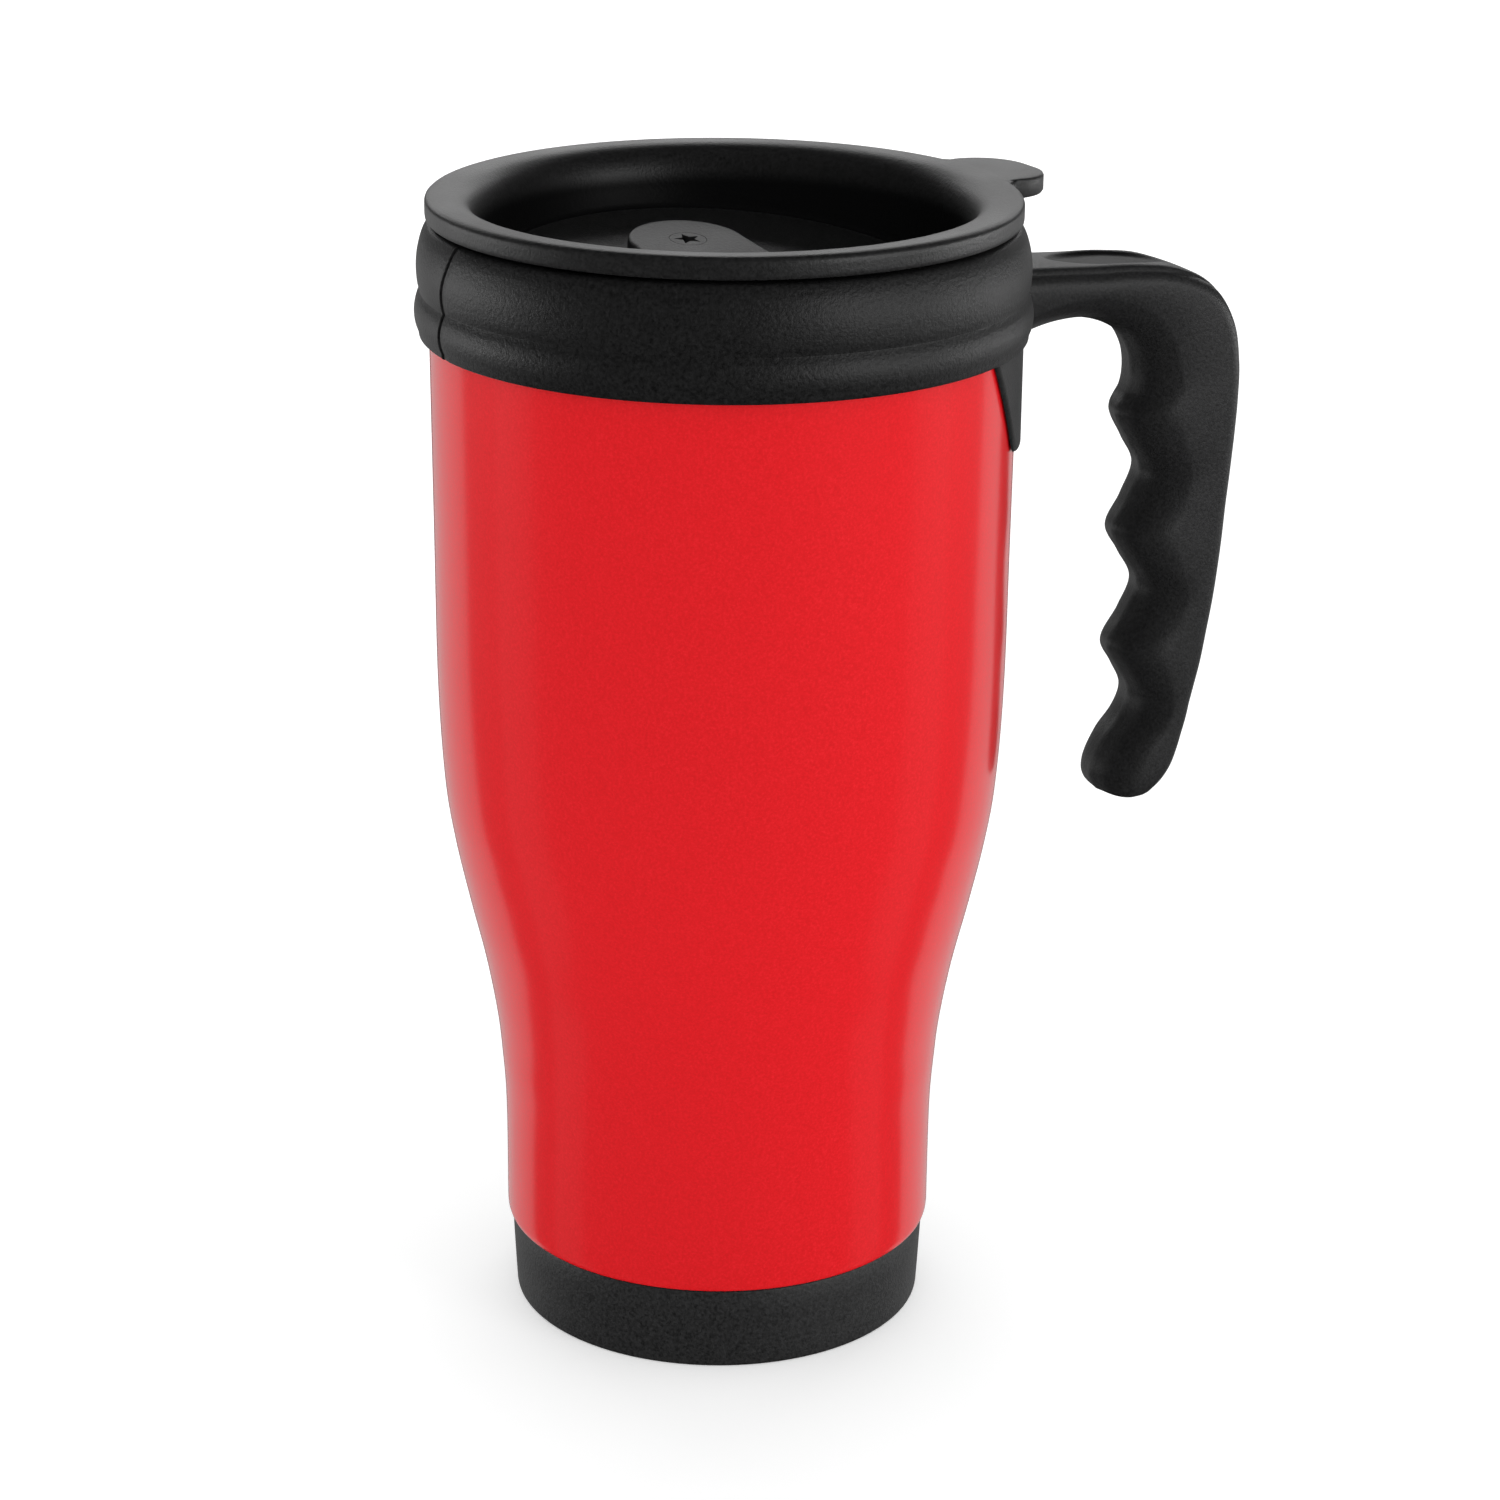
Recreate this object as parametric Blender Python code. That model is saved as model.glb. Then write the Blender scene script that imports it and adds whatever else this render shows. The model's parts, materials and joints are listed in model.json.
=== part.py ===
"""Insulated travel mug: double wall body, collar, hook handle and push-in lid with a swivel closure.

Metres, +Z up. The mug stands on Z = 0 with its axis on Z. The handle points along +X,
and the drinking hole of the lid lies towards -Y, beside the handle.
"""

import math

import bmesh
import bpy
from mathutils import Matrix, Vector

MM = 0.001

# Driving dimensions, in millimetres.
SEGMENTS = 40                 # facets round every turned piece
GAP = 0.3                     # clearance between pieces that touch on the real mug

LID_TOP = 167.8
FLANGE_RADIUS = 42.0
FLANGE_UNDERSIDE = 164.75
THROAT_RADIUS = 34.5
PLUG_RADIUS = 36.2
PLUG_BOTTOM = 147.6
RECESS_RADIUS = 33.8
TAB_TIP = 49.9                # thumb tab over the handle: its reach along X, half width and corner radius
TAB_SIDE = 8.7
TAB_CORNER = 7.0

FLOOR_HEIGHT = 154.6          # top of the lid floor on the mug axis
FLOOR_SLOPE = 0.13            # rise of the floor per unit towards +Y
FLOOR_THICKNESS = 1.8
PIVOT_OFFSET = 11.9           # pivot of the closure, from the mug axis towards +Y
PIVOT_HOLE_RADIUS = 2.1
DRINK_HOLE_OFFSET = 20.0      # drinking hole, from the mug axis towards -Y
DRINK_HOLE_SIZE = (14.0, 7.0)

CLOSURE_HEAD_RADIUS = 8.6
CLOSURE_END_RADIUS = 10.5
CLOSURE_REACH = 30.0          # from the pivot to the centre of the wide end
CLOSURE_THICKNESS = 2.6

SHELL_WALL = 0.8
SHELL_BOTTOM = 12.7
SHELL_TOP = 150.2
LINER_GAP = 3.0               # air between the shell and the liner
LINER_WALL = 1.6
LINER_BOTTOM = 15.5
NECK_RADIUS = 39.0
NECK_BOTTOM = 147.0
LINER_RIM = 164.4

COLLAR_TOP = 164.2
COLLAR_BOTTOM = 148.2
COLLAR_INNER_RADIUS = 40.95
COLLAR_SKIRT_RADIUS = 41.95   # inside of the skirt that overlaps the shell

TONGUE_BOTTOM = 131.5         # at its middle, under the handle
TONGUE_TOP = 149.9
TONGUE_CORNER = (41.4, 133.1)       # angle and height where the lower edge turns up into the flank
TONGUE_FLANK_LEAN = 0.887     # degrees by which the flank moves out for each millimetre of height
TONGUE_OUTER_RADII = (42.45, 42.4)  # at its lower and its upper end
TONGUE_INNER_RADIUS = 41.85
TONGUE_HALF_ANGLE = TONGUE_CORNER[0] + TONGUE_FLANK_LEAN * (TONGUE_TOP - TONGUE_CORNER[1])
HANDLE_HALF_WIDTH = 7.4
FOOT_HALF_ANGLE = 17.0

BASE_HEIGHT = 12.35
BASE_RADIUS = 31.15
SPIGOT_RADIUS = 30.65
PAD_RADIUS = 23.7
PAD_THICKNESS = 1.0

# Outer radius of the shell against height: straight foot, S-curve and a barely flared upper body.
SHELL_STATIONS = (
    (13.9, 31.85), (30.0, 31.95), (38.5, 32.5), (45.0, 33.2), (54.0, 34.8), (63.5, 37.05),
    (73.0, 39.1), (82.0, 40.4), (97.0, 41.2), (120.0, 41.4), (SHELL_TOP, 41.65),
)

# Handle ribs from root to tip, in the plane of the handle: finger side point, then spine side point.
HANDLE_RIBS = (
    ((42.1, 139.8), (42.1, 154.1)),
    ((45.5, 142.2), (45.8, 154.0)),
    ((51.0, 143.9), (51.5, 153.7)),
    ((57.0, 144.4), (58.0, 153.3)),
    ((62.0, 143.5), (65.5, 152.9)),
    ((65.8, 141.4), (72.8, 151.7)),
    ((67.9, 138.2), (79.1, 148.4)),
    ((68.5, 134.9), (82.9, 142.6)),
    ((67.9, 131.8), (84.2, 136.3)),
    ((66.2, 128.6), (84.3, 130.5)),
    ((68.4, 124.2), (84.0, 125.0)),
    ((70.8, 119.7), (83.5, 119.0)),
    ((68.8, 114.9), (83.0, 113.8)),
    ((66.4, 110.4), (82.6, 108.6)),
    ((68.7, 106.2), (82.1, 103.8)),
    ((71.3, 101.6), (81.5, 99.2)),
    ((69.2, 96.9), (80.7, 94.6)),
    ((66.4, 92.2), (79.8, 89.6)),
    ((68.4, 88.3), (78.8, 85.6)),
    ((70.5, 84.3), (77.9, 82.1)),
    ((69.4, 80.6), (77.0, 78.5)),
    ((66.4, 76.9), (76.2, 75.8)),
    ((64.5, 73.5), (75.2, 73.4)),
    ((64.2, 70.9), (73.6, 71.1)),
    ((65.4, 68.9), (71.6, 69.2)),
    ((67.6, 68.1), (69.6, 68.3)),
)
ARM_RIBS = 5                  # the first ribs, with a shallow nose and the thumb rest above
GRIP_NOSE = 7.5               # depth of the rounded finger side on the grip
ARM_NOSE = 4.5                # the same under the arm
SPINE_CORNER = 2.5
THUMB_REST = (52.7, 72.3)     # ends of the thumb rest along X
THUMB_REST_DEPTH = 0.9


# Helpers

def clear_scene():
    for obj in list(bpy.data.objects):
        bpy.data.objects.remove(obj, do_unlink=True)


def make_material(name, colour, roughness, metallic=0.0):
    material = bpy.data.materials.new(name)
    material.use_nodes = True
    shader = material.node_tree.nodes["Principled BSDF"]
    shader.inputs["Base Color"].default_value = (*colour, 1.0)
    shader.inputs["Roughness"].default_value = roughness
    shader.inputs["Metallic"].default_value = metallic
    material.diffuse_color = (*colour, 1.0)
    return material


def add_object(name, bm, material):
    """The bmesh, given in millimetres, as an object in metres with smooth shading."""
    bmesh.ops.scale(bm, vec=(MM, MM, MM), verts=bm.verts)
    bmesh.ops.recalc_face_normals(bm, faces=bm.faces)
    mesh = bpy.data.meshes.new(name)
    bm.to_mesh(mesh)
    bm.free()
    mesh.materials.append(material)
    mesh.shade_smooth()
    mesh.set_sharp_from_angle(angle=math.radians(35))
    obj = bpy.data.objects.new(name, mesh)
    bpy.context.scene.collection.objects.link(obj)
    return obj


def add_helper(name, bm):
    """A cutter, or a shape that a union takes in: never a piece of the mug itself."""
    obj = add_object(name, bm, bpy.data.materials["helper"])
    obj.hide_render = True
    obj.display_type = "WIRE"
    return obj


def combine(target, other, operation):
    modifier = target.modifiers.new(operation.lower() + "_" + other.name, "BOOLEAN")
    modifier.operation = operation
    modifier.solver = "EXACT"
    modifier.object = other


def smooth_through(points, steps):
    """Catmull-Rom points through the given ones, with steps to each stretch."""
    ends = [points[0], *points, points[-1]]
    result = []
    for before, start, end, after in zip(ends, ends[1:], ends[2:], ends[3:]):
        for step in range(steps):
            t = step / steps
            result.append(tuple(
                0.5 * (2 * b + (c - a) * t + (2 * a - 5 * b + 4 * c - d) * t ** 2
                       + (3 * b - a - 3 * c + d) * t ** 3)
                for a, b, c, d in zip(before, start, end, after)
            ))
    return [*result, tuple(points[-1])]


def turned(profile, on_axis=False):
    """A bmesh turned round Z from (radius, height) points: a closed ring, or a body that meets the axis."""
    bm = bmesh.new()
    verts = [bm.verts.new((radius, 0.0, height)) for radius, height in profile]
    edges = [bm.edges.new(pair) for pair in zip(verts, verts[1:])]
    if not on_axis:
        edges.append(bm.edges.new((verts[-1], verts[0])))
    bmesh.ops.spin(bm, geom=verts + edges, cent=(0, 0, 0), axis=(0, 0, 1),
                   angle=2 * math.pi, steps=SEGMENTS, use_merge=True)
    bmesh.ops.remove_doubles(bm, verts=bm.verts, dist=1e-4)
    return bm


def extruded(outline, low, high):
    """A bmesh of the (x, y) outline between two heights."""
    bm = bmesh.new()
    face = bm.faces.new([bm.verts.new((x, y, low)) for x, y in outline])
    raised = bmesh.ops.extrude_face_region(bm, geom=[face])["geom"]
    top = [item for item in raised if isinstance(item, bmesh.types.BMVert)]
    bmesh.ops.translate(bm, vec=(0, 0, high - low), verts=top)
    return bm


def block(low, high):
    x0, y0, z0 = low
    x1, y1, z1 = high
    return extruded([(x0, y0), (x1, y0), (x1, y1), (x0, y1)], z0, z1)


def arc(centre, radius, start, end, steps):
    """Points on an arc, with its angles in degrees."""
    angles = [math.radians(start + (end - start) * step / steps) for step in range(steps + 1)]
    return [(centre[0] + radius * math.cos(a), centre[1] + radius * math.sin(a)) for a in angles]


def two_circle_outline(head_radius, end_radius, distance, steps=10):
    """Hull of a circle at the origin and a second one at the given distance along -Y."""
    lean = math.degrees(math.asin((end_radius - head_radius) / distance))
    head = arc((0, 0), head_radius, -lean, 180 + lean, steps)
    end = arc((0, -distance), end_radius, 180 + lean, 360 - lean, steps)
    return head + end


def slot_outline(width, depth):
    radius = depth / 2
    side = (width - depth) / 2
    return arc((side, 0), radius, -90, 90, 8) + arc((-side, 0), radius, 90, 270, 8)


def bent_plate(angles, inner_radius, outer_radii, lows, top):
    """A plate bent round Z with a level top. Its lower edge has its own height at each angle."""
    bm = bmesh.new()
    rows = []
    for degrees, low in zip(angles, lows):
        angle = math.radians(degrees)
        section = ((inner_radius, low), (outer_radii[0], low), (outer_radii[1], top), (inner_radius, top))
        rows.append([bm.verts.new((r * math.cos(angle), r * math.sin(angle), z)) for r, z in section])
    join_rows(bm, rows)
    return bm


def even_plate(half_angle, inner_radius, outer_radius, low, top, columns=12):
    """A bent plate of one height."""
    angles = [half_angle * (2 * column / columns - 1) for column in range(columns + 1)]
    return bent_plate(angles, inner_radius, (outer_radius, outer_radius), [low] * len(angles), top)


def join_rows(bm, rows):
    """Faces between closed rows of vertices, with a cap on the first and the last row."""
    for lower, upper in zip(rows, rows[1:]):
        count = len(lower)
        for index in range(count):
            after = (index + 1) % count
            bm.faces.new((lower[index], lower[after], upper[after], upper[index]))
    bm.faces.new(list(reversed(rows[0])))
    bm.faces.new(rows[-1])
    bmesh.ops.triangulate(bm, faces=[face for face in bm.faces if len(face.verts) > 4])


def floor_matrix(y):
    """Place on top of the lid floor at the given Y, in millimetres, with local Z along the floor's normal."""
    height = FLOOR_HEIGHT + FLOOR_SLOPE * y
    return Matrix.Translation((0, y, height)) @ Matrix.Rotation(math.atan(FLOOR_SLOPE), 4, "X")


def placed(bm, matrix):
    bmesh.ops.transform(bm, matrix=matrix, verts=bm.verts)
    return bm


# Body

def shell_profile(inset, low, high, steps):
    """(radius, height) points up the shell's S-curve, moved in by inset and cut to a range of height."""
    curve = smooth_through(SHELL_STATIONS, steps)
    return [(radius - inset, z) for z, radius in curve if low <= z <= high]


def make_outer_shell(material):
    outer = shell_profile(0.0, SHELL_BOTTOM, SHELL_TOP, steps=1)
    inner = [(radius - SHELL_WALL, z) for radius, z in outer]
    lip = [(31.15, SHELL_BOTTOM), (31.6, SHELL_BOTTOM + 0.3)]
    profile = lip + outer + inner[::-1] + [(31.05, SHELL_BOTTOM + 0.2)]
    return add_object("outer_shell", turned(profile), material)


def make_inner_liner(material):
    inset = SHELL_WALL + LINER_GAP
    body = shell_profile(inset, 30.0, 125.0, steps=1)
    foot_radius = body[0][0]
    corner = arc((foot_radius - 5.0, LINER_BOTTOM + 5.0), 5.0, -90, 0, 3)
    outer = [(0, LINER_BOTTOM), *corner, *body, (38.5, 140.0), (NECK_RADIUS, NECK_BOTTOM),
             (NECK_RADIUS, LINER_RIM)]
    inner_corner = arc((foot_radius - 5.0, LINER_BOTTOM + 5.0), 5.0 - LINER_WALL, 0, -90, 3)
    inner = [(NECK_RADIUS - LINER_WALL, LINER_RIM), (NECK_RADIUS - LINER_WALL, NECK_BOTTOM),
             (38.5 - LINER_WALL, 140.0)]
    inner += [(radius - LINER_WALL, z) for radius, z in reversed(body)]
    inner += [*inner_corner, (0, LINER_BOTTOM + LINER_WALL)]
    return add_object("inner_liner", turned(outer + inner, on_axis=True), material)


def make_neck_seal(material):
    """Ring of round section that centres the liner's neck in the mouth of the shell."""
    section = arc((39.9, 145.2), 0.55, 0, 300, 5)
    return add_object("neck_seal", turned(section), material)


def make_base_cap(material):
    profile = [
        (0, PAD_THICKNESS + GAP), (PAD_RADIUS + GAP, PAD_THICKNESS + GAP), (PAD_RADIUS + GAP, 0),
        (30.15, 0), (30.45, 0.3), (30.6, 1.2), (30.75, 4.0), (31.0, 8.5),
        (BASE_RADIUS, BASE_HEIGHT), (SPIGOT_RADIUS, BASE_HEIGHT), (SPIGOT_RADIUS, 19.5),
        (29.2, 19.5), (28.9, 3.4), (14.6, 3.4), (14.6, 15.1), (13.0, 15.1), (13.0, 3.4), (0, 3.4),
    ]
    return add_object("base_cap", turned(profile, on_axis=True), material)


def make_base_pad(material):
    profile = [(0, 0), (PAD_RADIUS - 0.3, 0), (PAD_RADIUS, 0.3), (PAD_RADIUS, PAD_THICKNESS),
               (0, PAD_THICKNESS)]
    return add_object("base_pad", turned(profile, on_axis=True), material)


# Collar and handle

def make_collar(material):
    """Ring with two soft bulges. Its skirt is thin over the tongue of the handle and open round its neck."""
    profile = [
        (41.3, COLLAR_TOP), (42.0, 163.8), (42.7, 162.4), (43.2, 160.2), (43.35, 158.4),
        (43.3, 156.4), (43.0, 154.6), (43.45, 153.4), (43.75, 151.8), (43.6, 150.4),
        (43.15, 149.2), (42.95, 148.45), (42.75, COLLAR_BOTTOM), (COLLAR_SKIRT_RADIUS, COLLAR_BOTTOM),
        (COLLAR_SKIRT_RADIUS, SHELL_TOP + 0.4),
        (COLLAR_INNER_RADIUS, SHELL_TOP + 0.6), (COLLAR_INNER_RADIUS, 162.4),
        (NECK_RADIUS + GAP, 162.6), (NECK_RADIUS + GAP, COLLAR_TOP),
    ]
    collar = add_object("collar", turned(profile), material)
    clear_of_tongue = TONGUE_OUTER_RADII[0] + 0.25
    relief = even_plate(TONGUE_HALF_ANGLE + 0.4, 41.5, clear_of_tongue, COLLAR_BOTTOM - 2, TONGUE_TOP + GAP)
    combine(collar, add_helper("cutter_tongue_relief", relief), "DIFFERENCE")
    side = HANDLE_HALF_WIDTH + GAP
    notch = block((38.0, -side, COLLAR_BOTTOM - 2), (46.0, side, 154.5))
    combine(collar, add_helper("cutter_neck_notch", notch), "DIFFERENCE")
    return collar


def rib_section(inner, outer, half_width, nose, corner, dimple):
    """One closed section of the handle, from the finger side point round the spine and back."""
    start, end = Vector(inner), Vector(outer)
    width = (end - start).length
    along = (end - start).normalized()
    nose = min(nose, width * 0.55)
    corner = min(corner, width * 0.3, half_width * 0.6)
    side = []
    for angle in (0, 22, 45, 68, 90):
        turn = math.radians(angle)
        side.append((nose * (1 - math.cos(turn)), half_width * math.sin(turn)))
    for angle in (0, 45, 90):
        turn = math.radians(angle)
        side.append((width - corner + corner * math.sin(turn), half_width - corner + corner * math.cos(turn)))
    side.append((width - dimple * 0.85, half_width * 0.3))
    mirrored = [(u, -t) for u, t in reversed(side[1:])]
    points = []
    for u, t in [*side, (width - dimple, 0.0), *mirrored]:
        place = start + along * u
        points.append((place.x, t, place.y))
    return points


def thumb_rest_depth(x):
    low, high = THUMB_REST
    if not low < x < high:
        return 0.0
    return THUMB_REST_DEPTH * math.sin(math.pi * (x - low) / (high - low)) ** 1.5


def make_grip():
    """Arm and grip as one loft through the ribs, with the tip rounded off in width as well."""
    bm = bmesh.new()
    last = len(HANDLE_RIBS) - 1
    flat = [(*inner, *outer, index) for index, (inner, outer) in enumerate(HANDLE_RIBS)]
    rows = []
    for x0, z0, x1, z1, place in smooth_through(flat, 2):
        nearness = min(max((place - ARM_RIBS) / 3, 0.0), 1.0)
        nose = ARM_NOSE + (GRIP_NOSE - ARM_NOSE) * nearness
        to_tip = min(max((place - (last - 4)) / 4, 0.0), 1.0)
        half_width = HANDLE_HALF_WIDTH * math.sqrt(1 - 0.9 * to_tip ** 4)
        dimple = thumb_rest_depth(x1) if place < ARM_RIBS + 2 else 0.0
        section = rib_section((x0, z0), (x1, z1), half_width, nose, SPINE_CORNER, dimple)
        rows.append([bm.verts.new(point) for point in section])
    join_rows(bm, rows)
    return bm


def tongue_low(angle):
    """Height of the tongue edge at an angle from the handle: a sagging lower edge, then the flank."""
    corner_angle, corner_height = TONGUE_CORNER
    lower = TONGUE_BOTTOM + (corner_height - TONGUE_BOTTOM) * (angle / corner_angle) ** 2
    flank = corner_height + (angle - corner_angle) / TONGUE_FLANK_LEAN
    return min(0.5 * (lower + flank + math.hypot(lower - flank, 1.2)), TONGUE_TOP - 0.5)


def make_tongue():
    """Wide bent tongue under the arm, with leaning flanks."""
    steps = [0.0, 6.0, 12.0, 18.0, 24.0, 30.0, 35.0, 38.5, 40.5, 42.0, 44.0, 48.0, 52.0, TONGUE_HALF_ANGLE]
    angles = [-angle for angle in reversed(steps[1:])] + steps
    lows = [tongue_low(abs(angle)) for angle in angles]
    return bent_plate(angles, TONGUE_INNER_RADIUS, TONGUE_OUTER_RADII, lows, TONGUE_TOP)


def make_handle(material):
    """Grip and arm, the bent tongue that bears on the shell, and a foot held behind the collar."""
    handle = add_object("handle", make_grip(), material)

    combine(handle, add_helper("union_tongue", make_tongue()), "UNION")
    neck_low = SHELL_TOP + GAP + 0.1
    neck = block((39.9, -HANDLE_HALF_WIDTH, neck_low), (44.0, HANDLE_HALF_WIDTH, 153.9))
    combine(handle, add_helper("union_neck", neck), "UNION")
    foot = even_plate(FOOT_HALF_ANGLE, NECK_RADIUS + GAP, COLLAR_INNER_RADIUS - GAP, neck_low + 0.5, 158.0)
    combine(handle, add_helper("union_foot", foot), "UNION")
    return handle


# Lid

def make_lid_body(material):
    """Flange and recess wall, with the sloping floor, the thumb tab and the holes through the floor."""
    profile = [
        (FLANGE_RADIUS, FLANGE_UNDERSIDE), (FLANGE_RADIUS, LID_TOP - 0.6), (41.5, LID_TOP - 0.1),
        (40.8, LID_TOP), (38.2, LID_TOP - 0.1), (36.8, LID_TOP - 0.6), (35.7, LID_TOP - 1.7),
        (34.9, LID_TOP - 3.2), (THROAT_RADIUS, LID_TOP - 4.8), (RECESS_RADIUS, PLUG_BOTTOM),
        (PLUG_RADIUS, PLUG_BOTTOM), (PLUG_RADIUS, 155.6), (35.3, 155.6), (35.3, 159.0),
        (PLUG_RADIUS, 159.0), (PLUG_RADIUS, FLANGE_UNDERSIDE),
    ]
    lid = add_object("lid_body", turned(profile), material)
    floor = turned([(0, -FLOOR_THICKNESS), (35.0, -FLOOR_THICKNESS), (35.0, 0), (0, 0)], on_axis=True)
    combine(lid, add_helper("union_floor", placed(floor, floor_matrix(0.0))), "UNION")
    middle = TAB_SIDE - TAB_CORNER
    outline = [(39.5, -TAB_SIDE - 1.0), (41.0, -TAB_SIDE - 1.0), (42.3, -TAB_SIDE - 0.15)]
    outline += arc((TAB_TIP - TAB_CORNER, -middle), TAB_CORNER, -80, 0, 6)
    outline += arc((TAB_TIP - TAB_CORNER, middle), TAB_CORNER, 0, 80, 6)
    outline += [(42.3, TAB_SIDE + 0.15), (41.0, TAB_SIDE + 1.0), (39.5, TAB_SIDE + 1.0)]
    tab = extruded(outline, FLANGE_UNDERSIDE + 0.25, LID_TOP - 0.15)
    combine(lid, add_helper("union_tab", tab), "UNION")
    drink = extruded(slot_outline(*DRINK_HOLE_SIZE), -5.0, 5.0)
    drink = placed(drink, floor_matrix(-DRINK_HOLE_OFFSET))
    combine(lid, add_helper("cutter_drink_hole", drink), "DIFFERENCE")
    pivot = extruded(arc((0, 0), PIVOT_HOLE_RADIUS, 0, 345, 23), -5.0, 5.0)
    combine(lid, add_helper("cutter_pivot_hole", placed(pivot, floor_matrix(PIVOT_OFFSET))), "DIFFERENCE")
    vent = placed(extruded(arc((0, 0), 1.2, 0, 330, 11), -5.0, 5.0), Matrix.Translation((-22.0, 0, 0)))
    combine(lid, add_helper("cutter_vent", placed(vent, floor_matrix(-9.0))), "DIFFERENCE")
    return lid


def make_lid_gasket(material):
    """Two lip ring in the groove of the lid's plug."""
    section = [(35.6, 156.0), (36.6, 156.0), (37.1, 156.5), (36.5, 157.3), (37.1, 158.1), (36.6, 158.6),
               (35.6, 158.6)]
    return add_object("lid_gasket", turned(section), material)


def on_pivot(obj):
    """Puts an object, modelled round its own origin, on the closure's pivot."""
    matrix = floor_matrix(PIVOT_OFFSET)
    obj.location = matrix.translation * MM
    obj.rotation_euler = matrix.to_euler()
    return obj


def make_swivel_closure(material):
    outline = two_circle_outline(CLOSURE_HEAD_RADIUS, CLOSURE_END_RADIUS, CLOSURE_REACH)
    low = GAP
    high = GAP + CLOSURE_THICKNESS
    closure = on_pivot(add_object("swivel_closure", extruded(outline, low, high), material))
    ridge = placed(extruded(slot_outline(11.0, 2.4), high - 0.5, high + 1.3),
                   Matrix.Translation((0, 3.0 - CLOSURE_REACH, 0)))
    combine(closure, on_pivot(add_helper("union_thumb_ridge", ridge)), "UNION")
    bore = turned([(0, -1.0), (PIVOT_HOLE_RADIUS, -1.0), (PIVOT_HOLE_RADIUS, high - 1.0),
                   (3.0, high - 1.0), (3.0, high + 1.0), (0, high + 1.0)], on_axis=True)
    combine(closure, on_pivot(add_helper("cutter_closure_bore", bore)), "DIFFERENCE")
    return closure


def make_pivot_pin(material):
    """Snap-in pin: flat head in the closure's counterbore, cross slot on top and a barb under the floor."""
    top = GAP + CLOSURE_THICKNESS - 0.15
    head_low = GAP + CLOSURE_THICKNESS - 1.0 + GAP
    barb = -FLOOR_THICKNESS - GAP
    shank = PIVOT_HOLE_RADIUS - GAP
    profile = [(0, barb - 1.3), (shank, barb - 1.3), (2.7, barb - 0.3), (2.7, barb), (shank, barb),
               (shank, head_low), (2.7, head_low), (2.7, top), (0, top)]
    pin = on_pivot(add_object("pivot_pin", turned(profile, on_axis=True), material))
    for index, (half_x, half_y) in enumerate(((1.9, 0.35), (0.35, 1.9))):
        slot = block((-half_x, -half_y, top - 0.4), (half_x, half_y, top + 1.0))
        combine(pin, on_pivot(add_helper(f"cutter_slot_{index}", slot)), "DIFFERENCE")
    return pin


def main():
    clear_scene()
    make_material("helper", (0.5, 0.5, 0.5), 0.5)
    paint = make_material("red_lacquer", (0.77, 0.012, 0.018), 0.22)
    plastic = make_material("black_plastic", (0.03, 0.03, 0.032), 0.5)
    satin = make_material("black_collar", (0.035, 0.035, 0.037), 0.6)
    rubber = make_material("black_rubber", (0.02, 0.02, 0.02), 0.8)
    silicone = make_material("grey_silicone", (0.18, 0.18, 0.18), 0.6)
    make_outer_shell(paint)
    make_inner_liner(plastic)
    make_neck_seal(silicone)
    make_base_cap(plastic)
    make_base_pad(rubber)
    make_collar(satin)
    make_handle(plastic)
    make_lid_body(plastic)
    make_lid_gasket(silicone)
    make_swivel_closure(plastic)
    make_pivot_pin(plastic)


main()
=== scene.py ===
"""Looks of the insulated travel mug: finished meshes, materials, studio light and camera.

Shapes are in millimetres until their mesh is made; the frame, the lights and the camera are in metres.
The mug's axis is Z, the handle points along +X and the drinking hole lies towards -Y.
"""

import json
import math

import bmesh
import bpy
from mathutils import Matrix, Vector


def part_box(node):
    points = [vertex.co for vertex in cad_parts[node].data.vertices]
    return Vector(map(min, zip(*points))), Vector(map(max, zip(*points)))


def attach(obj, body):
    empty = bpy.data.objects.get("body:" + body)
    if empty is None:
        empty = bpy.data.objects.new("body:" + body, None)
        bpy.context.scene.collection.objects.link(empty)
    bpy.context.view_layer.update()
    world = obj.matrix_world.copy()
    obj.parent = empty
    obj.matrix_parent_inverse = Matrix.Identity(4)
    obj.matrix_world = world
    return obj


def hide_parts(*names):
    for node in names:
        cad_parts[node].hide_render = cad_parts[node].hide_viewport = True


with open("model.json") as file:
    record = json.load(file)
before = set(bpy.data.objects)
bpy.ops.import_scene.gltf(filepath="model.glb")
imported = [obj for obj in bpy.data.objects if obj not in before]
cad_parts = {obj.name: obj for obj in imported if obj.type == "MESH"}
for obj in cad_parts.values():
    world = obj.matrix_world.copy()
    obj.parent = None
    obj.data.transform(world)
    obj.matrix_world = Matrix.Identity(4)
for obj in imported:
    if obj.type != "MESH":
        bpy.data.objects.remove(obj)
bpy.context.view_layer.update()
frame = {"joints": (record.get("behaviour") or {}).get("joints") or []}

MM = 0.001


def box_mm(node):
    low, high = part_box(node)
    return low / MM, high / MM


# Driving dimensions, in millimetres. Heights come from the frame.
COLUMNS = 192                 # facets round the large turned pieces
GAP = 0.3

LID_TOP = box_mm("lid_body")[1].z
PLUG_BOTTOM = LID_TOP - 20.2
FLANGE_UNDERSIDE = LID_TOP - 3.05
FLANGE_RADIUS = 42.0
PLUG_RADIUS = 36.2
GROOVE = (LID_TOP - 12.2, LID_TOP - 8.8)        # low and high side of the gasket's groove
GROOVE_RADIUS = 35.3
RECESS_RADIUS = 33.8
THROAT_RADIUS = 34.5
TAB_TIP = box_mm("lid_body")[1].x
TAB_SIDE = 8.7
TAB_CORNER = 7.0

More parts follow.
